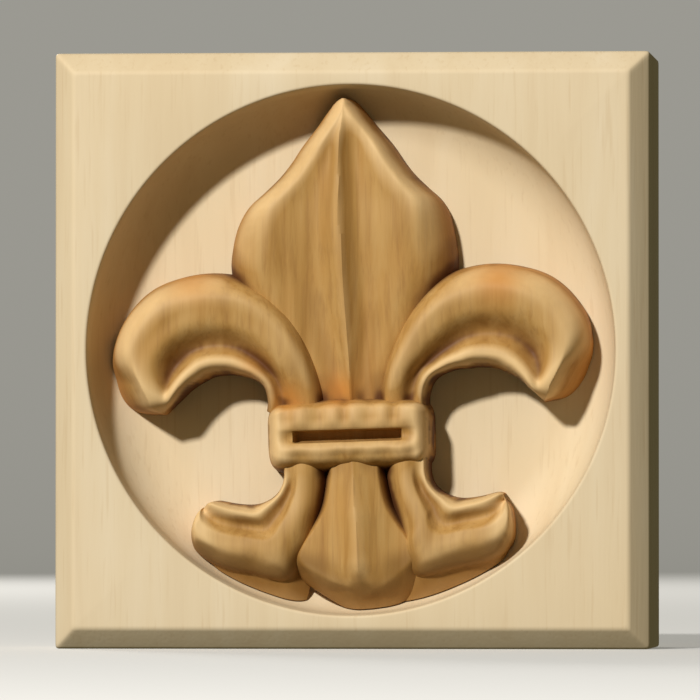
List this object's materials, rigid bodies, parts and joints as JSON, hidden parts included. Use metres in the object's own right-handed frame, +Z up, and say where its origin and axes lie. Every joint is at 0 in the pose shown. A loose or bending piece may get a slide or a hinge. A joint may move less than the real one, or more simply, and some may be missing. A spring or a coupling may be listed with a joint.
{
  "type": "carved rosette block",
  "caption": "Square wooden corner block for door or window trim, with a bevelled front edge and a round dish holding a carved fleur-de-lis in high relief.",
  "frame": {"origin": "on the floor plane under the middle of the block, at the bottom centre of its box", "axes": "+Z is up with the petal of the ornament pointing up, the carved face looks along -Y, the flat back looks along +Y, and +X is to the right of someone looking at the face"},
  "size_m": [0.0888, 0.0286, 0.0889],
  "materials": {
    "pale_maple": "sanded bare pale maple, matt",
    "honey_toned_wood": "carved wood with a honey-brown toning rubbed off the crests, satin"
  },
  "bodies": {
    "root": {"rosette_block": "pale_maple", "fleur_de_lis": "honey_toned_wood"}
  },
  "joints": []
}
